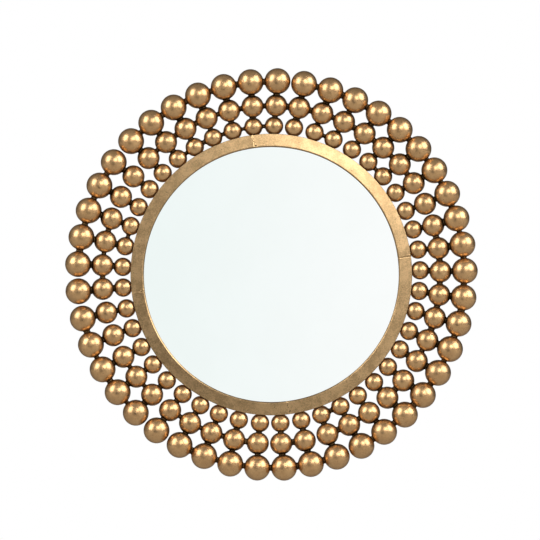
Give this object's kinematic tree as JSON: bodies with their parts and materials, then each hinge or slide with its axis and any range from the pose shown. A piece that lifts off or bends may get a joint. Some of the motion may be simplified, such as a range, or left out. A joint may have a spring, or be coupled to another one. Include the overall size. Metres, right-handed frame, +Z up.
{
  "type": "wall mirror",
  "caption": "Round flat wall mirror in a plain gold ring inside three rings of welded metal balls that grow outwards, hung by two swinging D-rings.",
  "frame": {"origin": "centre of the mirror, in the plane of the wall that it hangs on", "axes": "+X to the right as the mirror is looked at, +Z up, and the mirror looks along -Y, so +Y points into the wall"},
  "size_m": [0.7002, 0.0444, 0.6999],
  "materials": {
    "antique_gold_balls": "satin",
    "antique_gold_flat": "satin",
    "silvered_glass": "polished",
    "gasket_foam": "matte",
    "board_black": "matte",
    "zinc_steel": "satin",
    "ring_steel": "gloss"
  },
  "bodies": {
    "frame": {"inner_balls": "antique_gold_balls", "middle_balls": "antique_gold_balls", "outer_balls": "antique_gold_balls", "face_ring_arc_1": "antique_gold_flat", "face_ring_arc_2": "antique_gold_flat", "face_ring_arc_3": "antique_gold_flat", "face_ring_arc_4": "antique_gold_flat", "hoop": "antique_gold_flat", "glass_gasket": "gasket_foam", "mirror_glass": "silvered_glass", "backing_board": "board_black", "board_brackets": "zinc_steel", "board_screws": "zinc_steel", "hoop_screws": "zinc_steel", "hanger_strap_left": "zinc_steel", "hanger_screws_left": "zinc_steel", "hanger_strap_right": "zinc_steel", "hanger_screws_right": "zinc_steel"},
    "left_ring": {"d_ring_left": "ring_steel"},
    "right_ring": {"d_ring_right": "ring_steel"}
  },
  "joints": [
    {"name": "left_ring_swing", "type": "hinge", "parent": "frame", "child": "left_ring", "pos_m": [-0.14999, -0.00812, 0.10502], "axis": [1, 0, 0], "range_deg": [0, 180]},
    {"name": "right_ring_swing", "type": "hinge", "parent": "frame", "child": "right_ring", "pos_m": [0.14999, -0.00812, 0.10502], "axis": [1, 0, 0], "range_deg": [0, 180]}
  ]
}
